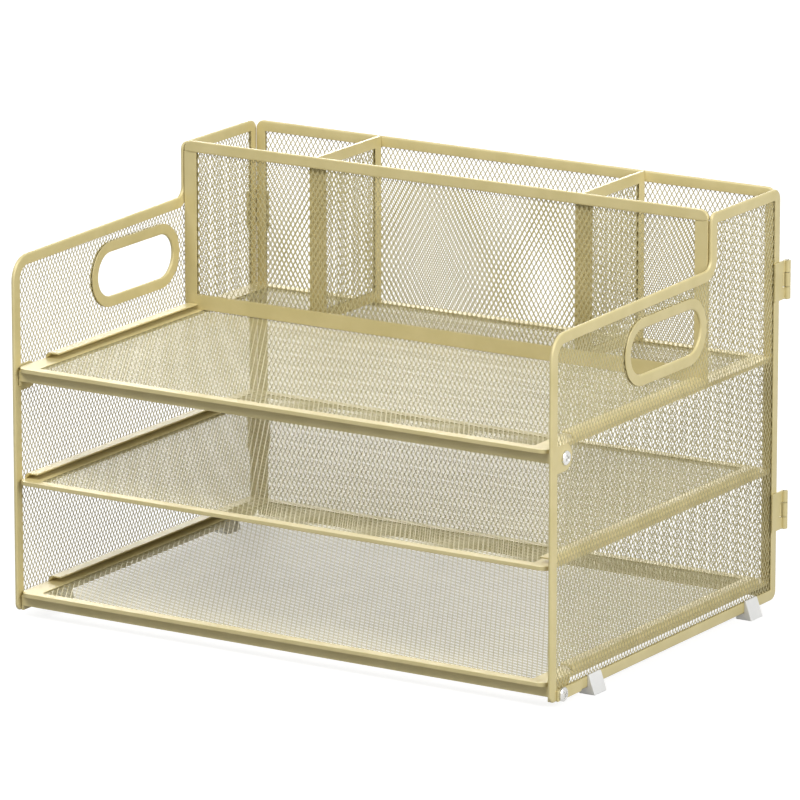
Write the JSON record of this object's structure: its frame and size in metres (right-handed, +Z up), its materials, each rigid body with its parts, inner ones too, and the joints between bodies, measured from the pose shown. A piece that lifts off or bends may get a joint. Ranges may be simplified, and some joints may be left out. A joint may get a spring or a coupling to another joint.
{
  "type": "letter rack",
  "caption": "Desk letter rack of gold mesh: stacked paper trays between hinged side panels with hand holes, and an upright organiser with compartments at the back.",
  "frame": {"origin": "on the desk top, under the middle of the rack's overall box", "axes": "+X to the right seen from the front, +Y to the back panel, +Z up"},
  "size_m": [0.346, 0.2458, 0.2333],
  "materials": {
    "powder_coat": "satin pale gold powder coat",
    "foot_plastic": "matte white",
    "screw_plating": "bright nickel plate",
    "pin_steel": "plain steel wire"
  },
  "bodies": {
    "rack": {"back_frame": "powder_coat", "back_mesh": "powder_coat", "top_tray_frame": "powder_coat", "top_tray_mesh": "powder_coat", "top_tray_rails": "powder_coat", "middle_tray_frame": "powder_coat", "middle_tray_mesh": "powder_coat", "middle_tray_rails": "powder_coat", "bottom_tray_frame": "powder_coat", "bottom_tray_mesh": "powder_coat", "bottom_tray_rails": "powder_coat", "upper_cross_bar": "powder_coat", "lower_cross_bar": "powder_coat", "front_rim": "powder_coat", "front_sill": "powder_coat", "front_end_strips": "powder_coat", "front_mesh": "powder_coat", "left_divider_frame": "powder_coat", "left_divider_mesh": "powder_coat", "right_divider_frame": "powder_coat", "right_divider_mesh": "powder_coat", "back_hinge_leaves": "powder_coat", "hinge_pins": "pin_steel"},
    "left_side": {"left_side_frame": "powder_coat", "left_side_mesh": "powder_coat", "left_handle_ring": "powder_coat", "left_screw_plates": "powder_coat", "left_screws": "screw_plating", "left_feet": "foot_plastic", "left_hinge_leaves": "powder_coat"},
    "right_side": {"right_side_frame": "powder_coat", "right_side_mesh": "powder_coat", "right_handle_ring": "powder_coat", "right_screw_plates": "powder_coat", "right_screws": "screw_plating", "right_feet": "foot_plastic", "right_hinge_leaves": "powder_coat"}
  },
  "joints": [
    {"name": "left_side_hinge", "type": "hinge", "parent": "rack", "child": "left_side", "pos_m": [-0.1694, 0.121, 0.1167], "axis": [0, 0, -1], "range_deg": [0, 180]},
    {"name": "right_side_hinge", "type": "hinge", "parent": "rack", "child": "right_side", "pos_m": [0.1694, 0.121, 0.1167], "axis": [0, 0, 1], "range_deg": [0, 180]}
  ]
}
